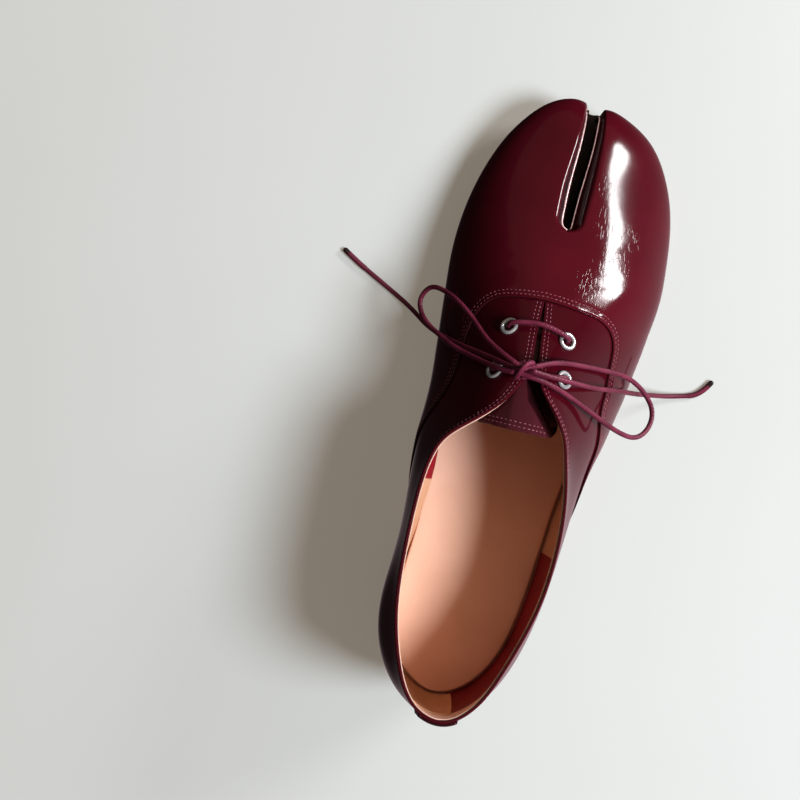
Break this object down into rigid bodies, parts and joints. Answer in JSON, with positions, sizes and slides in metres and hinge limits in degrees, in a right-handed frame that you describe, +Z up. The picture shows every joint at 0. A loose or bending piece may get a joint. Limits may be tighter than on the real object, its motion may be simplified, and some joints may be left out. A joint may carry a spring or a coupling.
{
  "type": "split toe lace-up shoe",
  "caption": "Low split toe lace-up shoe for the right foot in glossy burgundy patent leather, with metal eyelets, a tied round lace and a low stacked heel.",
  "frame": {"origin": "on the floor under the middle of the shoe's box, without the free lace", "axes": "+Y to the toe, +X to the outer side of the foot, +Z up"},
  "size_m": [0.168, 0.2568, 0.0723],
  "materials": {
    "sole_leather": "natural sole leather",
    "heel_stack": "dark polished stack",
    "lift_rubber": "matte",
    "insole_leather": "smooth tan",
    "patent": "glossy patent",
    "tongue_leather": "glossy patent",
    "heel_tab": "glossy patent",
    "eyelet_metal": "bright nickel",
    "lace_cord": "waxed round braid",
    "lace_tip": "dark sleeve"
  },
  "bodies": {
    "root": {"outsole": "sole_leather", "heel_block": "heel_stack", "heel_lift": "lift_rubber", "insole": "insole_leather", "upper": "patent", "tongue": "tongue_leather", "heel_tab": "heel_tab", "eyelet_front_medial": "eyelet_metal", "eyelet_front_lateral": "eyelet_metal", "eyelet_rear_medial": "eyelet_metal", "eyelet_rear_lateral": "eyelet_metal", "lace_bar_front": "lace_cord", "lace_bar_rear": "lace_cord", "lace_knot": "lace_cord", "lace_loop_medial": "lace_cord", "lace_loop_lateral": "lace_cord", "lace_end_medial": "lace_cord", "lace_end_lateral": "lace_cord", "lace_tip_medial": "lace_tip", "lace_tip_lateral": "lace_tip"}
  },
  "joints": []
}
